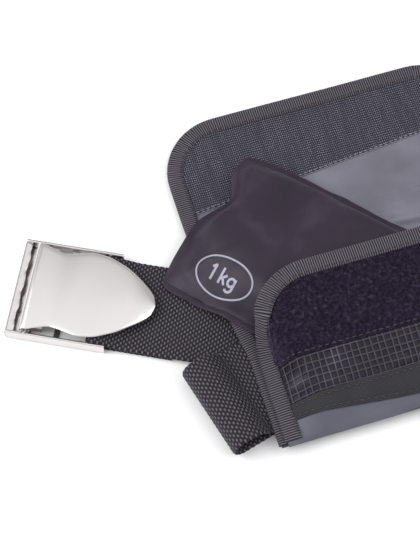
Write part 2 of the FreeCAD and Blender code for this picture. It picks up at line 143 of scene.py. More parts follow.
class Nodes:
    """A material's node tree with short calls for what the cloths and metals share."""

    def __init__(self, name, rough, metallic=0.0, along=False, specular=0.5):
        self.material = bpy.data.materials.new(name)
        self.material.use_nodes = True
        self.tree = self.material.node_tree
        self.shader = self.tree.nodes["Principled BSDF"]
        self.shader.inputs["Roughness"].default_value = rough
        self.shader.inputs["Metallic"].default_value = metallic
        self.shader.inputs["Specular IOR Level"].default_value = specular
        if along:
            self.spot = self.add("ShaderNodeAttribute", attribute_name="cloth").outputs["Vector"]
        else:
            self.spot = self.add("ShaderNodeTexCoord").outputs["Object"]

    def add(self, kind, **values):
        node = self.tree.nodes.new(kind)
        for key, value in values.items():
            if hasattr(node, key):
                setattr(node, key, value)
            else:
                node.inputs[key.replace("_", " ")].default_value = value
        return node

    def link(self, a, b):
        self.tree.links.new(a, b)

    def mapped(self, degrees, scale):
        """Object coordinates turned about Z and scaled along each axis."""
        node = self.add("ShaderNodeMapping")
        node.inputs["Rotation"].default_value = (0, 0, math.radians(-degrees))
        node.inputs["Scale"].default_value = scale
        self.link(self.spot, node.inputs["Vector"])
        return node.outputs["Vector"]

    def noise(self, per_metre, detail=3.0, vector=None):
        node = self.add("ShaderNodeTexNoise", Scale=per_metre, Detail=detail)
        self.link(vector if vector is not None else self.spot, node.inputs["Vector"])
        return node.outputs["Fac"]

    def wave(self, pitch_mm, direction, distort=0.0):
        """Fine ribs of one pitch."""
        node = self.add("ShaderNodeTexWave", bands_direction=direction, Distortion=distort)
        node.inputs["Scale"].default_value = math.pi / 10.0 / (pitch_mm / PER_METRE)
        node.inputs["Detail"].default_value = 0.0
        self.link(self.spot, node.inputs["Vector"])
        return node.outputs["Fac"]

    def floats(self, wide_mm, long_mm):
        """Thread floats in staggered columns: high along each float, low all round it."""
        parts = self.add("ShaderNodeSeparateXYZ")
        self.link(self.spot, parts.inputs["Vector"])
        column = self.math("DIVIDE", parts.outputs["X"], wide_mm / PER_METRE)
        odd = self.math("PINGPONG", self.math("FLOOR", column, 0.0), 1.0)
        along = self.math("ADD", self.math("DIVIDE", parts.outputs["Y"], long_mm / PER_METRE),
                          self.math("MULTIPLY", odd, 0.5))
        bumps = [self.math("ABSOLUTE", self.math("SINE", self.math("MULTIPLY", turn, math.pi), 0.0), 0.0)
                 for turn in (column, along)]
        return self.math("POWER", self.math("MULTIPLY", bumps[0], bumps[1]), 0.5)

    def feed(self, sockets, values):
        """Give each socket a number, a colour or another node's output."""
        for socket, value in zip(sockets, values):
            if isinstance(value, (int, float)):
                socket.default_value = value
            elif isinstance(value, tuple):
                socket.default_value = (*value, 1)
            else:
                self.link(value, socket)

    def math(self, operation, a, b):
        node = self.add("ShaderNodeMath", operation=operation)
        self.feed(node.inputs, (a, b))
        return node.outputs[0]

    def sum(self, a, share, b):
        """A share of one height and the rest of another."""
        return self.math("ADD", self.math("MULTIPLY", a, share), self.math("MULTIPLY", b, 1.0 - share))

    def over(self, fac, share, a, b):
        """One colour with at most a share of another laid over it."""
        return self.mix(self.math("MULTIPLY", fac, share), a, b)

    def ramp(self, fac, stops):
        """Colour ramp; stops are (place, colour)."""
        node = self.add("ShaderNodeValToRGB")
        while len(node.color_ramp.elements) < len(stops):
            node.color_ramp.elements.new(0.5)
        for element, (where, colour) in zip(node.color_ramp.elements, stops):
            element.position = where
            element.color = (*colour, 1)
        self.link(fac, node.inputs["Fac"])
        return node.outputs["Color"]

    def mix(self, fac, a, b):
        node = self.add("ShaderNodeMix", data_type="RGBA")
        self.feed((node.inputs[0], node.inputs[6], node.inputs[7]), (fac, a, b))
        return node.outputs[2]

    def bump(self, height, strength, distance_mm):
        node = self.add("ShaderNodeBump", Strength=strength, Distance=distance_mm / PER_METRE)
        self.link(height, node.inputs["Height"])
        self.link(node.outputs["Normal"], self.shader.inputs["Normal"])

    def colour(self, socket):
        self.link(socket, self.shader.inputs["Base Color"])

    def roughness(self, fac, low, high):
        node = self.add("ShaderNodeMapRange", To_Min=low, To_Max=high)
        self.link(fac, node.inputs["Value"])
        self.link(node.outputs["Result"], self.shader.inputs["Roughness"])

    def sheen(self, weight, rough, tint):
        self.shader.inputs["Sheen Weight"].default_value = weight
        self.shader.inputs["Sheen Roughness"].default_value = rough
        self.shader.inputs["Sheen Tint"].default_value = (*tint, 1)


def shade(value, factor):
    return tuple(min(1.0, channel * factor) for channel in value)


def woven(name, base, light, pitch, rough=0.75, sheen=0.25):
    """Plain weave: two crossed sets of threads, painted darker in the gaps as shade and lighter on top as a
    highlight, with broad tone changes.
    """
    n = Nodes(name, rough, specular=0.2)
    weave = n.math("MULTIPLY", n.wave(pitch, "X"), n.wave(pitch, "Y"))
    tone = n.noise(90.0, 4.0)
    fuzz = n.noise(2600.0, 2.0)
    top = n.sum(weave, 0.75, fuzz)
    # Painted shade in the gaps between threads and a painted highlight on the thread tops.
    threads = n.ramp(top, [(0.12, shade(base, 0.2)), (0.45, base), (0.8, light)])
    streak = n.noise(1.0, 3.0, n.mapped(20.0, (420.0, 50.0, 50.0)))
    # Random darker streaks laid over the threads, which keep their painted shade and highlight.
    streaked_threads = n.over(streak, 0.55, threads, shade(base, 0.55))
    n.colour(n.over(tone, 0.25, streaked_threads, shade(base, 1.5)))
    n.roughness(fuzz, rough - 0.1, min(1.0, rough + 0.12))
    n.bump(top, 0.8, 0.12)
    n.sheen(sheen, 0.5, (0.8, 0.8, 0.9))
    return n.material


def webbing_cloth(name, base, light):
    """Heavy belt webbing: staggered thread floats with painted shade in the gaps and a painted highlight on
    their paler tops.
    """
    n = Nodes(name, 0.6, along=True, specular=0.25)
    size = n.floats(FLOAT_WIDE, FLOAT_LONG)
    fuzz = n.noise(2400.0, 3.0)
    wear = n.noise(60.0, 3.0)
    top = n.sum(size, 0.78, fuzz)
    # Painted shade, nearly black, in the gaps between floats and a painted highlight on their tops.
    threads = n.ramp(top, [(0.50, shade(base, 0.05)), (0.70, base), (0.92, light)])
    n.colour(n.over(wear, 0.3, threads, base))
    n.roughness(fuzz, 0.5, 0.72)
    n.bump(top, 0.8, 0.2)
    n.sheen(0.08, 0.5, (0.8, 0.8, 0.9))
    return n.material


def grosgrain(name, base, light, pitch):
    """Binding tape: cross ribs that follow the tape, with painted shade between them and a painted
    highlight on their tops, fuzzy on top.
    """
    n = Nodes(name, 0.68, along=True, specular=0.2)
    ribs_up = n.wave(pitch, "X")
    fuzz = n.noise(2600.0, 3.0)
    tone = n.noise(45.0, 3.0)
    top = n.sum(ribs_up, 0.72, fuzz)
    # Painted shade in the valleys between ribs and a painted highlight on the rib tops.
    threads = n.ramp(top, [(0.24, shade(base, 0.12)), (0.5, base), (0.85, light)])
    n.colour(n.over(tone, 0.3, threads, base))
    n.roughness(fuzz, 0.58, 0.8)
    n.bump(fuzz, 0.5, 0.12)
    n.sheen(0.08, 0.5, (0.8, 0.8, 0.9))
    return n.material


def knit(name, base, light):
    """Hook tape ground: staggered short stitches in fine columns."""
    n = Nodes(name, 0.62, specular=0.25)
    columns = n.wave(1.1, "X", 1.2)
    rows = n.wave(1.35, "Y", 2.0)
    hooks = n.noise(1500.0, 4.0)
    mixed = n.sum(n.math("MULTIPLY", columns, rows), 0.5, hooks)
    # Painted shade between the stitches and a painted highlight on their tops.
    threads = n.ramp(mixed, [(0.24, shade(base, 0.15)), (0.42, base), (0.70, light)])
    streak = n.noise(1.0, 4.0, n.mapped(28.0, (380.0, 40.0, 40.0)))
    patchy = n.ramp(streak, [(0.38, (0, 0, 0)), (0.62, (0.55, 0.55, 0.55))])
    n.colour(n.mix(patchy, threads, shade(base, 0.8)))
    n.roughness(hooks, 0.5, 0.75)
    n.bump(mixed, 1.0, 0.3)
    n.sheen(0.08, 0.5, (0.8, 0.85, 1.0))
    return n.material


def pile(name, base, light):
    """Brushed loop pile: mottled, soft, with a bloom at grazing angles."""
    n = Nodes(name, 0.95, specular=0.1)
    clumps = n.noise(520.0, 6.0)
    hairs = n.noise(3400.0, 3.0)
    mixed = n.sum(clumps, 0.45, hairs)
    n.colour(n.ramp(mixed, [(0.36, shade(base, 0.35)), (0.52, base), (0.70, light)]))
    n.roughness(hairs, 0.85, 1.0)
    n.bump(mixed, 1.0, 0.5)
    n.sheen(0.4, 0.45, (0.58, 0.45, 0.78))
    return n.material


def satin(name, base, light, rough=0.42, pitch=0.45, sheen=0.3, specular=0.5):
    """Smooth filament nylon: very fine weave, soft gloss and faint creasing, with painted shade and
    highlights along the creases.
    """
    n = Nodes(name, rough, specular=specular)
    threads = n.math("MULTIPLY", n.wave(pitch, "X"), n.wave(pitch, "Y"))
    folds = n.noise(38.0, 3.0)
    fine = n.noise(900.0, 2.0)
    # Painted shade and highlights: the colour darkens and lightens with the fold noise that also bumps the
    # surface.
    body = n.ramp(folds, [(0.3, shade(base, 0.8)), (0.55, base), (0.8, light)])
    n.colour(n.over(threads, 0.25, body, shade(base, 0.55)))
    n.roughness(fine, rough - 0.06, rough + 0.12)
    height = n.sum(threads, 0.2, folds)
    n.bump(height, 0.35, 0.6)
    n.sheen(sheen, 0.4, (0.85, 0.85, 1.0))
    return n.material


def steel(name, base, rough, brushed=0.25):
    """Stainless steel: brushed along the buckle, with smudges and fine scratches."""
    n = Nodes(name, rough, metallic=1.0)
    grain = n.noise(1.0, 4.0, n.mapped(BUCKLE[2], (160.0, 5200.0, 160.0)))
    smudge = n.noise(75.0, 4.0)
    n.colour(n.over(smudge, 0.35, base, shade(base, 0.86)))
    n.roughness(n.sum(grain, 0.55, smudge), max(0.05, rough - 0.1), rough + 0.14)
    n.bump(grain, brushed, 0.02)
    return n.material


def thread(name, base):
    """Sewing thread: twisted, slightly glossy."""
    n = Nodes(name, 0.5)
    twist = n.noise(2200.0, 2.0)
    n.colour(n.ramp(twist, [(0.3, shade(base, 0.7)), (0.7, shade(base, 1.2))]))
    n.bump(twist, 0.5, 0.1)
    return n.material


CLOTHS = {
    "webbing": (webbing_cloth, (0.030, 0.024, 0.034), (0.165, 0.150, 0.178)),
    "outer_nylon": (woven, (0.045, 0.041, 0.058), (0.21, 0.20, 0.25), 0.9, 0.7, 0.08),
    "mesh_backing": (satin, (0.011, 0.009, 0.016), (0.040, 0.036, 0.056), 0.42, 0.6, 0.1, 0.3),
    "binding": (grosgrain, (0.036, 0.031, 0.041), (0.165, 0.152, 0.180), RIB_PITCH),
    "tape": (woven, (0.040, 0.038, 0.044), (0.088, 0.084, 0.094), 0.8, 0.8, 0.1),
    "hook_tape": (knit, (0.030, 0.028, 0.042), (0.27, 0.255, 0.345)),
    "loop_velour": (pile, (0.015, 0.0095, 0.023), (0.100, 0.080, 0.130)),
    "lining_nylon": (satin, (0.150, 0.146, 0.182), (0.205, 0.20, 0.245)),
    "strip_nylon": (satin, (0.10, 0.10, 0.135), (0.15, 0.15, 0.19)),
    "pouch_fabric": (satin, (0.022, 0.0135, 0.027), (0.046, 0.033, 0.052), 0.42, 0.5, 0.08, 0.3),
    "mesh": (satin, (0.06, 0.052, 0.075), (0.16, 0.145, 0.19), 0.45, 0.3, 0.08, 0.3),
    "thread_pale": (thread, (0.24, 0.235, 0.26)),
    "thread_dark": (thread, (0.03, 0.028, 0.034)),
    "print": (satin, (0.33, 0.34, 0.42), (0.42, 0.43, 0.52), 0.5, 0.6, 0.1),
    "buckle_steel": (steel, (0.74, 0.71, 0.70), 0.18),
    "cam_steel": (steel, (0.40, 0.37, 0.36), 0.36, 0.5),
    "pin_steel": (steel, (0.6, 0.59, 0.59), 0.22),
    "sealed_tip": (satin, (0.016, 0.015, 0.018), (0.04, 0.04, 0.045), 0.35, 0.9),
    "shot": (woven, (0.1, 0.1, 0.11), (0.4, 0.4, 0.42), 2.4, 0.45),
}
MATERIALS = {name: make(name, *values) for name, (make, *values) in CLOTHS.items()}

# ---------------------------------------------------------------- mesh helpers

def linked(name, data):
    """Object of a mesh, light or camera, in the scene."""
    obj = bpy.data.objects.new(name, data)
    bpy.context.scene.collection.objects.link(obj)
    return obj


def standing(obj, body, node):
    """An object on its CAD body, standing for a CAD node."""
    if body:
        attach(obj, body)
    if node:
        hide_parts(node)
    return obj


def build(name, points, faces, material, body, node=None, cloth=None):
    """Object from millimetre points, riding on a CAD body and standing for a CAD node.

    cloth is each point's place on its tape.
    """
    mesh = bpy.data.meshes.new(name)
    mesh.from_pydata(place(points).tolist(), [], faces)
    if cloth is not None:
        spot = mesh.attributes.new("cloth", "FLOAT_VECTOR", "POINT")
        spot.data.foreach_set("vector", (np.asarray(cloth) / PER_METRE).reshape(-1))
    mesh.update()
    obj = linked(name, mesh)
    mesh.materials.append(MATERIALS[material])
    mesh.polygons.foreach_set("use_smooth", [True] * len(mesh.polygons))
    return standing(obj, body, node)


def normals_of(grid):
    """Unit normals of a grid of points, upwards on a flat piece."""
    normal = np.cross(np.gradient(grid, axis=0), np.gradient(grid, axis=1))
    length = np.linalg.norm(normal, axis=2, keepdims=True)
    return normal / np.maximum(length, 1e-9)


def slab_faces(rows, columns):
    """Faces of a closed thin piece: top grid, bottom grid and the edge between them."""
    index = np.arange(rows * columns).reshape(rows, columns)
    a, b, c, d = index[:-1, :-1], index[1:, :-1], index[1:, 1:], index[:-1, 1:]
    top = np.stack([a, b, c, d], axis=-1).reshape(-1, 4)
    under = top[:, ::-1] + rows * columns
    ring = np.concatenate([index[:, 0], index[-1, 1:], index[-2::-1, -1], index[0, -2:0:-1]])
    after = np.roll(ring, -1)
    side = np.stack([after, ring, ring + rows * columns, after + rows * columns], axis=-1)
    return np.concatenate([top, under, side]).tolist()


def cut(grid):
    """Measure the size of the cloth a sheet was cut from, over its surface; the sizes are not kept."""
    along = np.linalg.norm(np.diff(grid, axis=0), axis=2).sum(axis=0).max() / PER_METRE
    across = np.linalg.norm(np.diff(grid, axis=1), axis=2).sum(axis=1).max() / PER_METRE
    side_u = grid[1:, :-1] - grid[:-1, :-1]
    side_v = grid[:-1, 1:] - grid[:-1, :-1]
    area = np.linalg.norm(np.cross(side_u, side_v), axis=2).sum() / 1e6


def slab(name, grid, thick, material, body, relief=None, node=None, held=None):
    """Thin closed piece under a grid of points; relief raises its top along the normals."""
    normal = normals_of(grid)
    top = grid if relief is None else grid + normal * relief[..., None]
    under = grid - normal * thick
    points = np.concatenate([top.reshape(-1, 3), under.reshape(-1, 3)])
    obj = build(name, points, slab_faces(*grid.shape[:2]), material, body, node)
    if held:
        cut(grid)
    return obj


def tube_faces(rings, sides):
    """Faces of a closed tube of rings, with its ends capped."""
    index = np.arange(rings * sides).reshape(rings, sides)
    ahead = np.roll(index, -1, axis=1)
    wall = np.stack([index[:-1], index[1:], ahead[1:], ahead[:-1]], axis=-1).reshape(-1, 4).tolist()
    return wall + [index[0].tolist(), index[-1][::-1].tolist()]


def run_of(path):
    """Length along a path up to each of its points."""
    return np.concatenate([[0], np.cumsum(np.linalg.norm(np.diff(path, axis=0), axis=1))])


def unit(vectors):
    """Vectors of length one."""
    return vectors / np.linalg.norm(vectors, axis=-1, keepdims=True)


def rings_along(path, ups, section, relief=None):
    """Rings of a flat section carried along a path; relief adds to the section's height ring by ring."""
    tangent = unit(np.gradient(path, axis=0))
    across = unit(np.cross(tangent, ups))
    up = np.cross(across, tangent)
    wide, high = np.asarray(section).T
    if relief is not None:
        high = high + relief[:, None] * np.sign(high)
    high = np.broadcast_to(high, (len(path), len(wide)))
    return path[:, None] + across[:, None] * wide[:, None] + up[:, None] * high[..., None]


def swept(name, path, ups, section, material, body, relief=None, node=None):
    """Closed tube of a flat section along a path, with each point's place on the tape."""
    rings = rings_along(path, ups, section, relief)
    cloth = joined(run_of(path)[:, None], np.asarray(section)[:, 0], 0.0)
    return build(name, rings.reshape(-1, 3), tube_faces(*rings.shape[:2]), material, body, node,
                 cloth.reshape(-1, 3))


def tubes(name, parts, material, body, node=None):
    """One object of many closed tubes, each given as its rings."""
    faces, base = [], 0
    for rings in parts:
        faces += [[base + k for k in face] for face in tube_faces(*rings.shape[:2])]
        base += rings.shape[0] * rings.shape[1]
    points = np.concatenate([rings.reshape(-1, 3) for rings in parts])
    return build(name, points, faces, material, body, node)


def bound(name, path, ups, wide, high, body, rib, node=None):
    """Ribbed binding tape along a path."""
    return swept(name, path, ups, flat_oval(wide, high), "binding", body, ribs(path, rib), node)


def circle(sides):
    """Points evenly round a circle of radius one."""
    angle = 2 * math.pi * np.arange(sides) / sides
    return joined(np.cos(angle), np.sin(angle))


def flat_oval(wide, high):
    """Rounded flat section: nearly level faces and round edges."""
    turn = circle(14)
    return np.sign(turn) * np.abs(turn) ** 0.6 * (wide / 2, high / 2)


def resampled(points, step):
    """Evenly spaced points along a line of points."""
    points = np.asarray(points, dtype=float)
    length = run_of(points)
    count = max(2, int(length[-1] / step) + 1)
    where = np.linspace(0, length[-1], count)
    return np.stack([np.interp(where, length, points[:, k]) for k in range(points.shape[1])], axis=1)


def arch_path(x0, x1, y0, y1, radius):
    """Up one side, round both top corners and down the other side."""
    points = [(x0, y0)]
    for centre, start in ((x0 + radius, 180), (x1 - radius, 90)):
        for angle in np.radians(np.linspace(start, start - 90, 13)):
            points.append((centre + radius * math.cos(angle), y1 - radius + radius * math.sin(angle)))
    return np.array(points + [(x1, y0)])


def smooth_step(value):
    value = np.clip(value, 0.0, 1.0)
    return value * value * (3 - 2 * value)


def ripple(x, y, seed, size):
    """Repeatable soft unevenness, -1 to 1, for cloth that isn't quite flat."""
    rng = np.random.default_rng(seed)
    total = 0.0
    for _ in range(7):
        angle, phase = rng.uniform(0, 2 * math.pi, 2)
        scale = size * rng.uniform(0.6, 1.8)
        total = total + np.sin((x * math.cos(angle) + y * math.sin(angle)) / scale * 2 * math.pi + phase)
    return total / 7.0


def stitches(name, path, body, length=2.6, gap=1.1, thick=0.42, material="thread_dark"):
    """A row of separate thread stitches lying on a surface."""
    step = 0.2
    path = resampled(path, step)
    pace = int((length + gap) / step)
    across, above = circle(6).T
    parts = []
    for start in range(0, len(path) - int(length / step), pace):
        run = path[start:start + int(length / step) + 1:3]
        side = unit(np.cross(run[-1] - run[0], UP))
        rise = np.sin(np.linspace(0, math.pi, len(run)))[:, None]
        radius = thick * (0.35 + 0.65 * rise)
        out = (radius * across)[..., None]
        lift = (radius * 0.7 * above + 0.12 * rise)[..., None]
        parts.append(run[:, None] + side * out + UP * lift)
    return tubes(name, parts, material, body)


def steel_piece(node, material, body, bevel_mm):
    """A metal CAD piece with its edges rolled over."""
    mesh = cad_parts[node].data.copy()
    form = bmesh.new()
    form.from_mesh(mesh)
    bmesh.ops.remove_doubles(form, verts=form.verts, dist=2e-6)
    bmesh.ops.dissolve_limit(form, angle_limit=math.radians(1.0), verts=form.verts, edges=form.edges)
    sharp = [e for e in form.edges if len(e.link_faces) == 2 and e.calc_face_angle(0) > math.radians(35)]
    bmesh.ops.bevel(form, geom=sharp, offset=bevel_mm / PER_METRE, segments=3, profile=0.6, affect="EDGES",
                    clamp_overlap=True)
    form.to_mesh(mesh)
    form.free()
    mesh.materials.clear()
    mesh.materials.append(MATERIALS[material])
    mesh.shade_smooth()
    obj = linked("steel_" + node, mesh)
    weighted = obj.modifiers.new("normals", "WEIGHTED_NORMAL")
    weighted.keep_sharp = True
    return standing(obj, body, node)


# ---------------------------------------------------------------- pocket fronts

OPEN_SLOPE = ([0, 10, 21, 46, 70, COVER], [0.0, 0.30, 0.56, 0.88, 0.96, 1.0])
FULL_SLOPE = ([0, 5, 11, 17, 30, 46, COVER], [0.0, 0.32, 0.62, 0.82, 0.95, 1.0, 1.0])


def front_z(x, y, slope, lift=0.0):
    """Height of a pocket's front, the same pillow that the frame's solids follow."""
    edge = 26.0 - 18.0 * smooth_step((y - 20.0) / 40.0)
    side = smooth_step(np.minimum(x, WIDE - x) / edge)
    return FRONT_LOW + lift + (FRONT_HIGH - FRONT_LOW) * np.interp(y, *slope) * side


def front_grid(x0, x1, y0, y1, slope, step, lift, corner=0.0, top=True):
    """Grid of points on a front; corner rounds its upper or lower ends off."""
    y = np.linspace(y0, y1, max(3, int((y1 - y0) / step) + 1))
    away = np.clip(corner - ((y1 - y) if top else (y - y0)), 0.0, corner)
    inset = corner - np.sqrt(corner ** 2 - away ** 2)
    x = np.linspace(x0 + inset, x1 - inset, max(3, int((x1 - x0) / step) + 1))
    return joined(x, y, front_z(x, y, slope, lift))


def ribs(path, high):
    """Rib heights ring by ring along a tape."""
    return high * (0.5 + 0.5 * np.sin(2 * math.pi * run_of(path) / RIB_PITCH - math.pi / 2))


def on_front(path, slope, lift):
    """Lift a flat path on to a front, with the surface's upward normals beside it."""
    x, y = path[:, 0], path[:, 1]
    step = 0.5
    dx = (front_z(x + step, y, slope) - front_z(x - step, y, slope)) / (2 * step)
    dy = (front_z(x, y + step, slope) - front_z(x, y - step, slope)) / (2 * step)
    return joined(x, y, front_z(x, y, slope, lift)), unit(joined(-dx * 0.5, -dy * 0.5, 1.0))


def mesh_window(number, slope, shift):
    """Open square mesh: crossed strands that rise and fall over each other."""
    pitch, radius, flatness = 3.5, 0.25, 1.35
    left, right = RIM, WIDE - RIM
    section = circle(6) * (radius * flatness, radius)
    lines = [("x", y) for y in np.arange(TAPE_TOP + 1.0, MESH_TOP, pitch)]
    lines += [("y", x) for x in np.arange(left + 1.0, right, pitch)]
    parts = []
    for order, (way, fixed) in enumerate(lines):
        if way == "x":
            run = np.arange(left, right + 0.1, pitch / 4)
            x, y = run, fixed + 0.25 * np.sin(run / 11.0 + fixed)
        else:
            run = np.arange(TAPE_TOP, MESH_TOP + 0.1, pitch / 4)
            x, y = fixed + 0.25 * np.sin(run / 7.0 + fixed), run
        over = 0.22 * np.cos(math.pi * (run - run[0]) / pitch + math.pi * (order % 2))
        path = joined(x, y, front_z(x, y, slope, 0.55) + over)
        parts.append(rings_along(path, UP, section) + shift)
    tubes("mesh_strands_%d" % number, parts, "mesh", "band", "pocket_%d_mesh_window" % number)


def loop_pile(number, slope, shift, y0, y1):
    """Short curled fibres standing on the loop panel."""
    rng = np.random.default_rng(40 + number)
    count = 16000 if number == 1 else 5000
    x = rng.uniform(RIM + 0.6, WIDE - RIM - 0.6, count)
    y = rng.uniform(y0 + 0.5, y1 - 0.3, count)
    corner = MOUTH_RADIUS - RIM
    cx = np.where(x < WIDE / 2, RIM + corner, WIDE - RIM - corner)
    outside = ((np.abs(x - WIDE / 2) > WIDE / 2 - RIM - corner) & (y > y1 - corner)
               & (np.hypot(x - cx, y - (y1 - corner)) > corner - 0.5))
    x, y = x[~outside], y[~outside]
    count = len(x)
    root = joined(x, y, front_z(x, y, slope, 0.9))
    heading = rng.uniform(0, 2 * math.pi, count)
    reach = rng.uniform(0.4, 1.1, count)
    rise = rng.uniform(0.35, 0.95, count)
    along = joined(np.cos(heading), np.sin(heading), 0.0)
    side = joined(-np.sin(heading), np.cos(heading), 0.0) * 0.09
    middle = root + along * (reach * 0.35)[:, None] + UP * rise[:, None]
    tip = root + along * reach[:, None] + UP * (rise * 0.55)[:, None]
    points = np.stack([root - side, root + side, middle + side * 0.9, middle - side * 0.9, tip], axis=1)
    base = np.arange(count)[:, None] * 5
    quads = (base + np.array([[0, 1, 2, 3]])).tolist()
    tips = (base + np.array([[3, 2, 4]])).tolist()
    build("loop_pile_%d" % number, points.reshape(-1, 3) + shift, quads + tips, "loop_velour", "band")


def drift(x):
    """How far the nylon strip's upper edge strays from straight, high at the buckle's end."""
    return 3.0 - 5.0 * smooth_step((x - 4.0) / 76.0)


def strayed(grid, share, slope):
    """Move points along the front by a share of the strip edge's drift, as high above it as before."""
    above = grid[..., 2] - front_z(grid[..., 0], grid[..., 1], slope)
    grid[..., 1] += share * drift(grid[..., 0])
    grid[..., 2] = front_z(grid[..., 0], grid[..., 1], slope) + above
    return grid


def pocket_front(number, slope):
    """Bound front panel: velour, mesh window over a puckered layer, tape and nylon strip."""
    shift = np.array([(number - 1) * PITCH, 0, 0])
    step = 0.8 if number == 1 else 1.6
    left, right = RIM - 3.0, WIDE - RIM + 3.0
    top = TALL - RIM + 3.0

    velour = front_grid(left, right, MESH_TOP + 0.3, top, slope, step, 0.6, MOUTH_RADIUS - RIM + 3)
    fuzz = np.random.default_rng(number).uniform(-0.22, 0.22, velour.shape[:2])
    slab("velour_%d" % number, velour + shift, 1.0, "loop_velour", "band", fuzz,
         "pocket_%d_loop_panel" % number, "stretched")
    loop_pile(number, slope, shift, MESH_TOP + 0.3, TALL - RIM)

    back = front_grid(left, right, TAPE_TOP - 1, MESH_TOP + 1, slope, step, -1.0)
    low_part = smooth_step((MESH_TOP - 5.0 - back[..., 1]) / 8.0)
    pucker = 0.9 * ripple(back[..., 0] * 0.5, back[..., 1], 3 + number, 7.0) + 0.5
    pucker = np.clip(pucker * (0.25 + 0.75 * low_part), -0.6, 1.15)
    slab("puckered_layer_%d" % number, back + shift, 0.4, "mesh_backing", "band", pucker,
         "pocket_%d_mesh_backing" % number, "gathered")
    mesh_window(number, slope, shift)

    tape = front_grid(left, right, STRIP_TOP - 0.4, TAPE_TOP + 0.4, slope, step, 1.1)
    tape = strayed(tape, (TAPE_TOP - tape[..., 1]) / (TAPE_TOP - STRIP_TOP), slope)
    edge = 0.25 * np.sin(np.linspace(0, 1, tape.shape[1]) * math.pi).clip(0, 1) ** 0.4
    weave = 0.10 * np.sin(tape[..., 0] * math.pi / 1.1)
    slab("tape_%d" % number, tape + shift, 0.9, "tape", "band", edge + weave,
         "pocket_%d_tape_band" % number, "stretched")

    strip = front_grid(1.5, WIDE - 1.5, -1.6, STRIP_TOP + 0.5, slope, step, 0.3)
    strip = strayed(strip, np.clip(strip[..., 1] / STRIP_TOP, 0, 1), slope)
    strip[..., 2] -= 1.6 * smooth_step((0.6 - strip[..., 1]) / 2.2)
    sag = 0.35 * ripple(strip[..., 0], strip[..., 1], 11 + number, 22.0)
    slab("nylon_strip_%d" % number, strip + shift, 0.8, "strip_nylon", "band", sag,
         "pocket_%d_bottom_strip" % number, "folded")

    arch = arch_path(RIM / 2, WIDE - RIM / 2, 0.5, TALL - RIM / 2, MOUTH_RADIUS - RIM / 2)
    path, up = on_front(resampled(arch, PATH_STEP), slope, 1.0)
    bound("front_binding_%d" % number, path + shift, up, RIM, 2.4, "band", 0.22,
          "pocket_%d_binding" % number)

    seam = arch_path(SEAM_IN, WIDE - SEAM_IN, 4.0, TALL - SEAM_IN, MOUTH_RADIUS - SEAM_IN)
    path, _ = on_front(resampled(seam, SEAM_STEP), slope, 2.35)
    stitches("front_seam_%d" % number, path + shift, "band")
    for row, y in enumerate((STRIP_TOP + 1.4, TAPE_TOP - 1.4, MESH_TOP + 1.3)):
        x = np.arange(RIM + 1, WIDE - RIM, SEAM_STEP)
        path, _ = on_front(joined(x, y + (drift(x) if row == 0 else 0.0)), slope, 1.65)
        stitches("front_row_%d_%d" % (number, row), path + shift, "band")


# ---------------------------------------------------------------- flaps


def open_flap_z(x, y):
    """Open flap: high where it leaves the band, falling to the surface, with soft waves."""
    fall = smooth_step((y - (HINGE_Y - 2.0)) / 34.0)
    wave = ripple(x, y, 21, 75.0)
    fold = 1.6 * np.exp(-((y - 124.0 - 0.06 * x) / 5.0) ** 2) * smooth_step((x - 95.0) / 40.0)
    return 6.6 - 4.4 * fall + 0.7 * wave * fall + fold


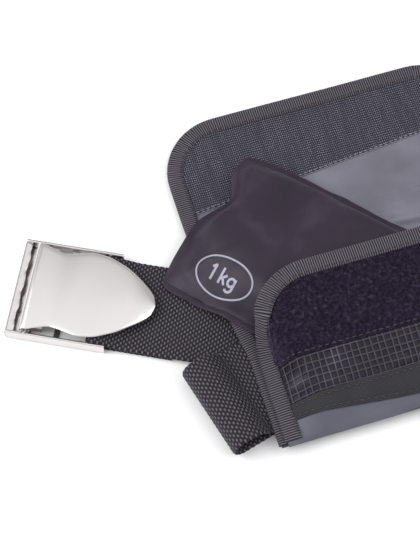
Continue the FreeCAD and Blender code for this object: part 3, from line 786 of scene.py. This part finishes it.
def open_flap():
    """The flap of pocket 1, lying open with its lining and hook strip upwards."""
    left, right = -14.0, WIDE + 2.0
    low = HINGE_Y + 1.3
    radius = FLAP_RADIUS

    def sheet_grid(x0, x1, y0, y1, step, lift, corner):
        grid = front_grid(x0, x1, y0, y1, OPEN_SLOPE, step, 0.0, corner)
        grid[..., 2] = open_flap_z(grid[..., 0], grid[..., 1]) + lift
        return grid

    upper = FLAP_TOP - RIM + 3.0
    hook_low = FLAP_TOP - RIM - HOOK_TALL

    def slant(points):
        """The hook strip is sewn on a little askew, wider at the buckle's side."""
        askew = -7.0 + 0.094 * points[..., 0]
        share = np.clip((upper - points[..., 1]) / (upper - hook_low), 0, 1)
        points[..., 1] += askew * share
        points[..., 2] += (open_flap_z(points[..., 0], points[..., 1])
                           - open_flap_z(points[..., 0], points[..., 1] - askew * share))
        return points

    panel = sheet_grid(left + 4, right - 4, low, FLAP_TOP - 4, 2.2, -0.5, radius - 4)
    slab("flap_outer_1", panel, 0.8, "outer_nylon", "flap_1", None, "flap_1_panel", "laid")
    lining = sheet_grid(left + RIM - 3, right - RIM + 3, low + 8.0, hook_low + 9.0, 1.4, 0.35, 0.0)
    crease = 0.25 * ripple(lining[..., 0] * 0.4, lining[..., 1], 5, 12.0)
    slab("flap_lining_1", lining, 0.6, "lining_nylon", "flap_1", crease, "flap_1_lining", "laid")
    hook = slant(sheet_grid(left + RIM - 3, right - RIM + 3, hook_low, upper, 0.55, 1.0, radius - RIM + 3))
    rows = 0.16 * np.sin(hook[..., 0] * math.pi / 0.9) * np.sin(hook[..., 1] * math.pi / 1.2)
    streak = 0.12 * ripple(hook[..., 0], hook[..., 1] * 0.2, 8, 3.0)
    slab("flap_hook_1", hook, 1.0, "hook_tape", "flap_1", rows + streak, "flap_1_hook_strip", "laid")

    arch = resampled(arch_path(left + RIM / 2, right - RIM / 2, low, FLAP_TOP - RIM / 2,
                               radius - RIM / 2), PATH_STEP)
    path = joined(*arch.T, open_flap_z(*arch.T) + 0.55)
    bound("flap_binding_1", path, UP, RIM, 3.0, "flap_1", 0.24, "flap_1_binding")

    line = np.arange(left + RIM, right - RIM, SEAM_STEP)
    for row, (y, lift) in enumerate(((hook_low + 0.2, 1.45), (hook_low - 0.6, 1.0))):
        points = slant(joined(line, y, open_flap_z(line, y) + lift))
        stitches("flap_row_1_%d" % row, points, "flap_1", 2.6, 0.5, 0.3, "thread_pale")
    seam = resampled(arch_path(left + SEAM_IN, right - SEAM_IN, low + 1, FLAP_TOP - SEAM_IN,
                               radius - SEAM_IN), SEAM_STEP)
    stitches("flap_seam_1", joined(*seam.T, open_flap_z(*seam.T) + 2.1), "flap_1")


def open_fold():
    """Lining of the open flap where it turns down into the pocket, and the panel's cloth beneath it."""
    upper = HINGE_Y + 11.5
    for name, material, lift, left_ends, right, low in (
            ("fold_lining_1", "lining_nylon", 0.35, (62.0, -8.0), WIDE - 6.0, 78.0),
            ("fold_outer_1", "outer_nylon", -0.2, (-9.0, -9.0), WIDE, 105.0)):
        share, y = np.meshgrid(np.linspace(0, 1, 160), np.linspace(low, upper, 60), indexing="ij")
        left = np.interp(y, (low, upper - 2.0), left_ends)
        x = left + (right - left) * share
        over = smooth_step((y - 107.5) / 9.0)
        z = (BAND_TOP + 0.35) * (1 - over) + open_flap_z(x, y) * over + lift
        if name == "fold_lining_1":
            free = smooth_step((x - 0.9 * (165.0 - y) - 30.0) / 10.0)
            crease = 2.4 * np.exp(-((y - 100.0 + 0.06 * (x - 100)) / 2.6) ** 2)
            z = z + free * (crease + 1.0 * np.exp(-((y - 92.0) / 1.6) ** 2))
        obj = slab(name, joined(x, y, z), 0.5, material, None, None, None, "folded")
        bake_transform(obj)


def closed_fold(number):
    """Cloth and lining of a closed flap where they come over from the top of the pocket's back wall."""
    shift = np.array([(number - 1) * PITCH, 0, 0])
    outside = [(HINGE_Y - 1.2, BAND_TOP), (HINGE_Y - 1.0, 20.0), (HINGE_Y - 1.6, 30.0),
               (HINGE_Y - 3.6, 33.6), (COVER - 1.0, 35.0), (COVER - 5.0, 35.2)]
    inside = [(HINGE_Y - 2.6, BAND_TOP), (HINGE_Y - 3.4, 20.0), (HINGE_Y - 4.2, 28.0),
              (HINGE_Y - 5.6, 31.6), (COVER - 1.0, 32.6), (COVER - 6.0, 32.7)]
    for name, material, edge, inset, bend in (("fold_outer", "outer_nylon", outside, 3.0, 24.0),
                                              ("fold_lining", "lining_nylon", inside, 5.5, 27.0)):
        xs = np.linspace(inset, WIDE - inset, 120)[:, None]
        line = resampled(edge, 1.0)
        top = edge[-1][1]
        reach = (front_z(xs, COVER, FULL_SLOPE, top - FRONT_HIGH) - BAND_TOP) / (top - BAND_TOP)
        grid = joined(xs, line[:, 0], BAND_TOP + (line[:, 1] - BAND_TOP) * reach)
        sag = 0.3 * ripple(grid[..., 0], grid[..., 1] + grid[..., 2], 70 + number, 40.0)
        node = "pocket_%d_top_wall" % number if name == "fold_outer" else None
        obj = slab("%s_%d" % (name, number), grid + shift, 0.6, material, None, sag, node, "folded")
        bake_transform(obj)


def closed_flap(number):
    """A flap folded down over a full pocket."""
    shift = np.array([(number - 1) * PITCH, 0, 0])
    slope = FULL_SLOPE
    body = "flap_%d" % number
    top = COVER + 2.0
    panel = front_grid(3.0, WIDE - 3.0, CLOSED_LOW + 4, top, slope, 1.6, OUTER_LIFT, FLAP_RADIUS - 4,
                       top=False)
    sag = 0.35 * ripple(panel[..., 0], panel[..., 1], 30 + number, 55.0)
    slab("flap_outer_%d" % number, panel + shift, 1.0, "outer_nylon", body, sag,
         "flap_%d_panel" % number, "folded")
    hook_top = CLOSED_LOW + RIM + HOOK_TALL
    hook = front_grid(RIM - 3, WIDE - RIM + 3, CLOSED_LOW + RIM - 3, hook_top, slope, 1.6, INNER_LIFT,
                      FLAP_RADIUS - RIM, top=False)
    slab("flap_hook_%d" % number, hook + shift, 0.8, "hook_tape", body, None,
         "flap_%d_hook_strip" % number, "stretched")
    lining = front_grid(RIM - 3, WIDE - RIM + 3, hook_top + 0.1, top, slope, 1.6, INNER_LIFT)
    slab("flap_lining_%d" % number, lining + shift, 0.6, "lining_nylon", body, None,
         "flap_%d_lining" % number, "stretched")
    upside_down = np.array((1.0, -1.0))
    arch = arch_path(RIM / 2 - 1, WIDE - RIM / 2 + 1, -top, -(CLOSED_LOW + RIM / 2),
                     FLAP_RADIUS - RIM / 2) * upside_down
    path, up = on_front(resampled(arch, PATH_STEP), slope, 4.6)
    bound("flap_binding_%d" % number, path + shift, up, RIM, 2.6, body, 0.22, "flap_%d_binding" % number)
    seam = arch_path(RIM - 0.5, WIDE - RIM + 0.5, -top + 2, -(CLOSED_LOW + RIM - 0.5),
                     FLAP_RADIUS - RIM) * upside_down
    path, _ = on_front(resampled(seam, SEAM_STEP), slope, 6.0)
    stitches("flap_seam_%d" % number, path + shift, body)


# ---------------------------------------------------------------- pouch


def pouch_mesh(name, simulate):
    """Shot pouch: a pillow blown up between two flat skins, laid flat, with a welded rim."""
    long_half, wide_half = POUCH_LONG / 2 - 4.0, POUCH_WIDE / 2 - 4.0
    step = 2.0
    nu, nv = int(2 * long_half / step) + 1, int(2 * wide_half / step) + 1
    u = np.linspace(-long_half, long_half, nu)
    v = np.linspace(-wide_half, wide_half, nv)
    gu, gv = np.meshgrid(u, v, indexing="ij")
    inner = (1 - (np.abs(gu) / long_half) ** 4) * (1 - (np.abs(gv) / wide_half) ** 4)
    uneven = 0.35 * ripple(gu, gv, 77, 16.0)
    high = 2.4 * np.clip(inner, 0, 1) ** 0.6 * (1 + 0.2 * uneven)
    skins = np.concatenate([joined(gu, gv, high), joined(gu, gv, -high)]).reshape(-1, 3)
    mesh = bpy.data.meshes.new(name)
    mesh.from_pydata((skins / PER_METRE).tolist(), [], slab_faces(nu, nv))
    form = bmesh.new()
    form.from_mesh(mesh)
    bmesh.ops.remove_doubles(form, verts=form.verts, dist=1e-5)
    bmesh.ops.recalc_face_normals(form, faces=form.faces)
    form.to_mesh(mesh)
    form.free()
    obj = linked(name, mesh)
    if simulate:
        cloth = obj.modifiers.new("Cloth", "CLOTH")
        settings = cloth.settings
        settings.quality = 6
        settings.mass = 0.3
        settings.tension_stiffness = 25
        settings.compression_stiffness = 12
        settings.bending_stiffness = 0.15
        settings.use_pressure = True
        settings.uniform_pressure_force = 4.0
        settings.effector_weights.gravity = 0.0
        cloth.point_cache.frame_start = 1
        cloth.point_cache.frame_end = BLOWN_FRAME
        for number in range(1, BLOWN_FRAME + 1):
            bpy.context.scene.frame_set(number)
        evaluated = obj.evaluated_get(bpy.context.evaluated_depsgraph_get())
        solved = bpy.data.meshes.new_from_object(evaluated)
        obj.modifiers.clear()
        obj.data = solved
        bpy.context.scene.frame_set(1)
    return obj


def squared(points, axis, other, half):
    """Draw a pillow's pulled-in sides out to the straight welded edge, at each place along them."""
    centres = np.linspace(points[:, other].min() * 0.93, points[:, other].max() * 0.93, 22)
    reach = (centres[1] - centres[0]) * 0.75
    for sign in (1.0, -1.0):
        side = sign * points[:, axis] > 0
        most = [np.max(sign * points[side & (np.abs(points[:, other] - c) < reach), axis]) for c in centres]
        points[side, axis] *= half / np.interp(points[side, other], centres, most)
    return points


def slumped(points):
    """Outer end of a half-full pouch: one corner stands out as an ear, the near edge hangs down."""
    points = points.copy()
    u, v = points[:, 0].copy(), points[:, 1].copy()
    outer = np.clip(-u / (POUCH_LONG / 2), 0, 1) ** 3
    notch = np.exp(-((v - 13.0) / 13.0) ** 2)
    ear = smooth_step((v - 24.0) / 16.0)
    points[:, 0] += outer * (9.5 * notch + 2.5 * ear + 1.5)
    points[:, 1] += outer * (-3.5 * ear)
    near = smooth_step((-v - 14.0) / 28.0)
    points[:, 1] -= 4.0 * near * smooth_step((-u + 12.0) / 18.0)
    hang = near * smooth_step((-u - 18.0) / 20.0)
    points[:, 2] -= 4.0 * hang + outer * 1.3 * notch
    return points


def finished_pouch(number, spot, body):
    """Pouch in place: flat underside, capped height, its fill of shot and its welded rim."""
    obj = pouch_mesh("pouch_skin_%d" % number, simulate=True)
    points = np.empty(len(obj.data.vertices) * 3)
    obj.data.vertices.foreach_get("co", points)
    points = points.reshape(-1, 3) * PER_METRE
    points = squared(points, 1, 0, SKIN_WIDE)
    points = squared(points, 0, 1, SKIN_LONG)
    x, y = points[:, 0], points[:, 1]
    height = points[:, 2]
    highest = max(np.percentile(height, 99.5), 0.1)
    lift = np.where(height > 0, height / highest * (POUCH_HIGH - 2.2), height / highest * 1.2)
    from_edge = np.minimum(SKIN_LONG - np.abs(x), SKIN_WIDE - np.abs(y))
    slope = 8.0 + 12.0 * smooth_step((-y - 5.0) / 20.0) * smooth_step((-x + 5.0) / 20.0)
    lift *= smooth_step((from_edge + 0.6) / slope) ** 0.6
    trough = np.exp(-((from_edge - 8.0) / 2.6) ** 2) * (0.5 + 0.5 * np.sin(x / 7.0 + y / 9.0))
    lift -= 0.9 * trough * (lift > 2.0)
    points[:, 2] = FRONT_LOW + 1.4 + np.minimum(lift, POUCH_HIGH - 1.6)
    points = place(turned(slumped(points), spot))
    obj.data.vertices.foreach_set("co", points.reshape(-1))
    obj.data.update()
    subdivision = obj.modifiers.new("smooth", "SUBSURF")
    subdivision.levels = subdivision.render_levels = 1
    obj.data.materials.clear()
    obj.data.materials.append(MATERIALS["pouch_fabric"])
    obj.data.shade_smooth()
    standing(obj, body, "pouch_%d_cover" % number)

    fill = obj.data.copy()
    fill.materials.clear()
    fill.materials.append(MATERIALS["shot"])
    middle = points.mean(axis=0)
    inside = middle + (points - middle) * 0.93
    fill.vertices.foreach_set("co", inside.reshape(-1))
    shot = linked("shot_fill_%d" % number, fill)
    standing(shot, body, "pouch_%d_shot" % number)

    round_by, ring_step = 5.0, 0.8
    half_l, half_w = POUCH_LONG / 2 - 2.1 - round_by, POUCH_WIDE / 2 - 2.1 - round_by
    corners = []
    for cx, cy, start in ((1, 1, 0), (-1, 1, 90), (-1, -1, 180), (1, -1, 270)):
        for step in range(0, 91, 15):
            angle = math.radians(start + step)
            corners.append((cx * half_l + round_by * math.cos(angle),
                            cy * half_w + round_by * math.sin(angle)))
    ring = resampled(corners + corners[:1], ring_step)
    length = np.arange(len(ring)) * ring_step
    pull = 1.0 - 0.005 * np.cos(length / 6.3) - 0.003 * np.cos(length / 2.9)
    ring = ring * pull[:, None]
    z = FRONT_LOW + 1.05 + 0.25 * np.sin(length / 4.1) + 0.15 * np.sin(length / 1.9)
    path = turned(slumped(joined(*ring.T, z)), spot)
    swept("pouch_rim_%d" % number, path, UP, flat_oval(4.2, 1.0), "pouch_fabric", body)
    return obj


def weight_mark(skin):
    """Generic weight marking: an oval ring with the mass written inside it in single strokes."""
    turn = np.linspace(0, 2 * math.pi, 73)
    bowl = joined(5.0 + 1.9 * np.cos(turn), -1.0 + 1.9 * np.sin(turn))
    tail = np.radians(np.linspace(0, -150, 12))
    hook = joined(4.9 + 2.0 * np.cos(tail), -3.6 + 2.0 * np.sin(tail))
    strokes = (joined(16.3 * np.cos(turn), 9.4 * np.sin(turn)),
               np.array([(-8.4, 2.2), (-6.6, 3.9), (-6.6, -3.5)]),
               np.array([(-1.8, 4.2), (-1.8, -3.5)]),
               np.array([(1.5, 1.2), (-1.5, -1.3)]),
               np.array([(-0.6, -0.5), (1.7, -3.5)]),
               bowl,
               np.concatenate([[(6.9, 1.1)], hook]))
    shell = skin.evaluated_get(bpy.context.evaluated_depsgraph_get())
    inverse = skin.matrix_world.inverted()
    for number, stroke in enumerate(strokes):
        flat = joined(*resampled(stroke, 0.4).T, 0.0)
        spots = place(turned(turned(flat, (0, 0, -4.0)) + np.array([-30.5, -31.0, 0]), POUCH))
        path, up = [], []
        for spot in spots:
            start = inverse @ Vector((spot[0], spot[1], 0.1))
            hit, location, normal, _ = shell.ray_cast(start, Vector((0, 0, -1)))
            path.append(location * PER_METRE + normal * 0.12 if hit else Vector(spot) * PER_METRE)
            up.append(normal if hit else Vector((0, 0, 1)))
        path = np.array(path) - ORIGIN * PER_METRE
        width = 1.0 if number == 0 else 1.4
        swept("weight_mark_%d" % number, path, np.array(up), flat_oval(width, 0.3), "print", "pouch_1")


# ---------------------------------------------------------------- webbing


def webbing(name, line, spot, node, step=0.4, width=WEB):
    """Woven strap along an XZ line: raised crossing threads on both faces and rounded edges."""
    line = resampled(line, step)
    tangent = unit(np.gradient(line, axis=0))
    normal = joined(-tangent[:, 1], tangent[:, 0])
    across = np.linspace(-width / 2, width / 2, int(width / step) + 1)
    run = np.arange(len(line)) * step
    s, v = np.meshgrid(run, across, indexing="ij")
    odd = np.floor(s / FLOAT_WIDE) % 2
    humps = np.abs(np.sin(math.pi * s / FLOAT_WIDE) * np.sin(math.pi * (v / FLOAT_LONG + 0.5 * odd)))
    relief = 0.32 * humps ** 0.6
    edge = np.clip((width / 2 - np.abs(v)) / 1.2, 0, 1) ** 0.5
    at_edge = (np.abs(v) > width / 2 - 0.6) * np.sign(v)
    wander = v + 0.3 * at_edge * np.abs(np.sin(math.pi * s / (2 * FLOAT_WIDE)))
    half = WEB_THICK / 2 - 0.28
    sides = []
    for way in (1.0, -1.0):
        offset = way * (half + relief) * edge
        x = line[:, :1] + normal[:, :1] * offset
        z = line[:, 1:] + normal[:, 1:] * offset
        sides.append(joined(x, wander, z).reshape(-1, 3))
    points = turned(np.concatenate(sides), spot)
    one_side = joined(s, v, 0.0).reshape(-1, 3)
    build(name, points, slab_faces(*s.shape), "webbing", "band", node,
          cloth=np.concatenate([one_side, one_side]))


def straps():
    """Buckle webbing with its sewn eye, the side loop, and the long webbing with its free tail."""
    mid = STRAP_LOW + WEB_THICK / 2
    eye_u, eye_z = STRAP_BAR
    radius = 1.65 + WEB_THICK / 2
    eye = [(eye_u + radius * math.cos(math.radians(a)), eye_z + radius * math.sin(math.radians(a)))
           for a in range(90, 271, 12)]
    line = [(188.0, mid), (eye_u + 16, mid), (eye_u + 9, mid + 1.6), (eye_u + 2.5, eye_z + radius - 0.1)]
    line += eye + [(eye_u + 6, 1.15), (eye_u + 42, 1.05)]
    webbing("webbing_from_buckle", line, BUCKLE, "buckle_webbing")

    nose_r = LOOP_HIGH / 2 - WEB_THICK / 2
    nose = [(LOOP_HIGH / 2 + 0.8 * nose_r * math.cos(math.radians(a)),
             LOOP_HIGH / 2 + nose_r * math.sin(math.radians(a))) for a in range(90, 271, 10)]
    line = [(96.0, UPPER_LOW + 1.0), (24.0, UPPER_LOW + 1.0), (22.6, UPPER_LOW + 2.6), (20.6, 11.2),
            (17.0, 14.4), (13.0, LOOP_HIGH - 1.25)] + nose + [(96.0, 1.0)]
    webbing("webbing_side_loop", line, LOOP, "webbing_loop")

    end = PITCH * 2 + WIDE
    line = [(66.0, UPPER_LOW + 1.0), (end + 4, UPPER_LOW + 1.0), (end + 17, 3.4), (end + 30, 1.0),
            (end + 294.0, 1.0)]
    webbing("webbing_long", line, (0, 50.0, 0), "belt_webbing", 0.62, WEB - 1)
    steel_piece("webbing_tip", "sealed_tip", "band", 0.5).name = "sealed_tip"


# ---------------------------------------------------------------- band, buckle


def band():
    """Back panel with its bound lower and left edges, and the sleeve behind it."""
    right = PITCH * 2 + WIDE + 4
    ys = np.linspace(-1.0, HINGE_Y - 2.0, 60)
    left = np.where(ys < 48, -2.0, -2.0 - 9.0 * (ys - 48) / (HINGE_Y - 50))
    x = left + (right - left) * np.linspace(0, 1, 260)[:, None]
    grid = joined(x, ys, BAND_TOP - 0.15 + 0.25 * ripple(x, ys, 50, 60.0))
    slab("back_panel", grid, 0.9, "outer_nylon", "band", None, "back_band", "laid")
    edges = (("band_edge_binding", [(0.6, 0.0), (0.6, 48.0), (-7.6, HINGE_Y - 2.5)], RIM - 1),
             ("band_end_binding", [(right - 1.6, 0.0), (right - 1.6, HINGE_Y - 2.2)], 5.0))
    for name, corners, wide in edges:
        path = joined(*resampled(corners, PATH_STEP).T, BAND_TOP - 0.5)
        bound(name, path, UP, wide, 2.4, "band", 0.2)
    corners = np.array(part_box("back_sleeve"))
    ends = (corners[:, 0] - ORIGIN[0]) * PER_METRE
    sides = (corners[:, 1] - ORIGIN[1]) * PER_METRE
    line = resampled([(sides[1] - 0.2, 6.8), (sides[1] - 4.0, 0.3), (sides[0] + 4.0, 0.3),
                      (sides[0] + 0.2, 6.8)], 1.2)
    grid = joined(np.linspace(ends[0] + 0.3, ends[1] - 0.3, 200)[:, None], *line.T)
    sag = 0.2 * ripple(grid[..., 0], grid[..., 1], 58, 50.0)
    slab("back_sleeve_cloth", grid, 0.7, "outer_nylon", "band", sag, "back_sleeve", "stretched")


def rod(name, spot, half, rings, radius, sides, material, body, node=None):
    """Round bar across the buckle, at a place (along, height) in it."""
    line = joined(spot[0], np.linspace(-half, half, rings), spot[1])
    swept(name, turned(line, BUCKLE), UP, radius * circle(sides), material, body, None, node)


def lever_plate():
    """Pressed shield: rolled at the hinge, drawn in behind it, slightly domed, tip turned down."""
    outline_u = [6.4, 10.5, 15.5, 21.4, 27.5, 33.0, 38.0, 46.0, 56.5, 66.0, 70.5, 72.6, 73.6, 74.0]
    outline_w = [25.0, 24.6, 22.9, 21.0, 21.8, 23.3, 24.0, 22.9, 18.4, 11.8, 8.0, 5.4, 3.0, 0.6]
    u = np.concatenate([np.linspace(6.4, 8.4, 9), np.linspace(8.9, 70.0, 120), np.linspace(70.3, 74.0, 24)])
    half = np.interp(u, outline_u, outline_w)
    padded = np.pad(half, 4, mode="edge")
    soft_half = np.convolve(padded, np.ones(9) / 9, mode="valid")
    half = np.where((u > 12) & (u < 68), soft_half, half)
    t = np.sin(np.linspace(-math.pi / 2, math.pi / 2, 61))
    dome = 1.0 * (1 - t ** 2)
    rolled = -0.45 * np.abs(t) ** 30
    hinge_roll = -2.2 * (1 - np.sqrt(np.clip(1 - ((8.4 - u) / 2.0).clip(0, 1) ** 2, 0, 1)))
    ridge = 0.55 * np.exp(-((u - 8.6) / 0.9) ** 2)
    tip_drop = -2.6 * smooth_step((u - 58.0) / 22.0)
    dish = -0.35 * np.exp(-((u - 20.0) / 7.0) ** 2)
    grid = joined(u[:, None], half[:, None] * t,
                  10.5 + dome + rolled + (hinge_roll + ridge + tip_drop + dish)[:, None])
    slab("lever_plate", turned(grid, BUCKLE), 1.3, "buckle_steel", "lever", None, "buckle_lever")
    rod("lever_barrel", HINGE_PIN, LEVER_HALF, 80, 2.6, 24, "buckle_steel", "lever")
    neck = joined(np.linspace(7.4, 11.6, 5)[:, None], np.linspace(-LEVER_HALF, LEVER_HALF, 40), 9.6)
    slab("lever_neck", turned(neck, BUCKLE), 3.0, "buckle_steel", "lever")


def frame_walls():
    """Folded steel channel: its side walls rolled at the top, and a wavy-edged bar across the end."""
    for name, u0, u1 in (("frame_floor_end", 0.4, 12.0), ("frame_floor_bar", 24.0, 27.0)):
        floor = joined(np.linspace(u0, u1, 24)[:, None], np.linspace(-FRAME_HALF, FRAME_HALF, 60), 0.75)
        slab(name, turned(floor, BUCKLE), 1.5, "buckle_steel", "band")
    for name, way, node in (("frame_wall_far", 1.0, None), ("frame_wall_near", -1.0, "buckle_frame")):
        z = np.linspace(0.1, WALL_HIGH, 30)
        lean = 0.25 * smooth_step((z - WALL_HIGH + 1.3) / 1.3)
        side = FRAME_HALF if way > 0 else -FRAME_HALF - WALL_THICK
        wall = joined(np.linspace(0.1, FRAME_LONG, 120)[:, None], side - way * lean, z)
        slab(name, turned(wall, BUCKLE), WALL_THICK, "buckle_steel", "band", None, node)
    lip = joined(0.7, np.linspace(-LIP_HALF, LIP_HALF, 60)[:, None], np.linspace(0.1, 5.4, 16))
    slab("frame_end_lip", turned(lip, BUCKLE), 1.3, "buckle_steel", "band")
    v = np.linspace(-LIP_HALF, LIP_HALF, 150)[:, None]
    t = np.linspace(0, 1, 16)
    reach = 3.1 + 0.35 * np.sin(v / 2.1) + 0.15 * np.sin(v / 0.9 + 1.0)
    bar = joined(0.2 + (reach - 0.2) * t, v, 5.5 - 0.5 * t ** 2)
    slab("frame_end_bar", turned(bar, BUCKLE), 0.9, "buckle_steel", "band")
    for name, spot in (("hinge_pin", HINGE_PIN), ("strap_bar", STRAP_BAR)):
        rod("rod_" + name, spot, 26.4, 60, 1.45, 20, "pin_steel", "band", name)


def buckle():
    """Steel frame, lever, cam and pins with rolled edges."""
    frame_walls()
    lever_plate()
    steel_piece("lever_cam", "cam_steel", "lever", 0.2)


# ---------------------------------------------------------------- floor, light and camera


def studio():
    """Pale floor, broad soft lights and the camera."""
    material = bpy.data.materials.new("floor")
    material.use_nodes = True
    shader = material.node_tree.nodes["Principled BSDF"]
    shader.inputs["Base Color"].default_value = (0.9, 0.9, 0.9, 1)
    shader.inputs["Roughness"].default_value = 0.9
    mesh = bpy.data.meshes.new("floor")
    half = 6.0
    mesh.from_pydata([(-half, -half, 0), (half, -half, 0), (half, half, 0), (-half, half, 0)], [],
                     [(0, 1, 2, 3)])
    mesh.materials.append(material)
    floor = linked("floor", mesh)
    floor.location.z = -0.0003

    world = bpy.data.worlds.new("studio")
    world.use_nodes = True
    tree = world.node_tree
    spot = tree.nodes.new("ShaderNodeTexCoord")
    parts = tree.nodes.new("ShaderNodeSeparateXYZ")
    ramp = tree.nodes.new("ShaderNodeValToRGB")
    tree.links.new(spot.outputs["Generated"], parts.inputs[0])
    tree.links.new(parts.outputs["Z"], ramp.inputs["Fac"])
    ramp.color_ramp.elements.new(0.7)
    for element, (where, tone) in zip(ramp.color_ramp.elements, ((0.0, 0.7), (0.74, 0.6), (0.95, 1.22))):
        element.position = where
        element.color = (tone, tone, tone * 1.02, 1)
    tree.links.new(ramp.outputs["Color"], tree.nodes["Background"].inputs[0])
    tree.nodes["Background"].inputs[1].default_value = 0.95
    bpy.context.scene.world = world

    centre = Vector(place([10.0, 90.0, 0.0]))
    for name, offset, size, power in (("key", (-1.0, 0.15, 1.0), 0.9, 13.0),
                                      ("fill", (0.9, -0.5, 1.1), 1.2, 7.0)):
        light = bpy.data.lights.new(name, "AREA")
        light.size = size
        light.energy = power
        lamp = linked(name, light)
        lamp.location = centre + Vector(offset)
        lamp.rotation_euler = (centre - lamp.location).to_track_quat("-Z", "Y").to_euler()

    azimuth, elevation, distance = math.radians(-17.0), math.radians(66.0), 0.822
    target = Vector(place([-8.7, 100.5, 0.0]))
    camera = bpy.data.cameras.new("camera")
    camera.lens = 100.0
    camera.sensor_width = 36.0
    eye = linked("camera", camera)
    toward = Vector((math.cos(elevation) * math.sin(azimuth), -math.cos(elevation) * math.cos(azimuth),
                     math.sin(elevation)))
    eye.location = target + toward * distance
    eye.rotation_euler = (target - eye.location).to_track_quat("-Z", "Y").to_euler()
    bpy.context.scene.camera = eye
    bpy.context.scene.view_settings.view_transform = "Standard"


studio()
buckle()
straps()
band()
pocket_front(1, OPEN_SLOPE)
open_flap()
open_fold()
weight_mark(finished_pouch(1, POUCH, "pouch_1"))
for pocket in (2, 3):
    pocket_front(pocket, FULL_SLOPE)
    closed_flap(pocket)
    closed_fold(pocket)
    finished_pouch(pocket, ((pocket - 1) * PITCH + WIDE / 2, 51.0, 0.0), "band")
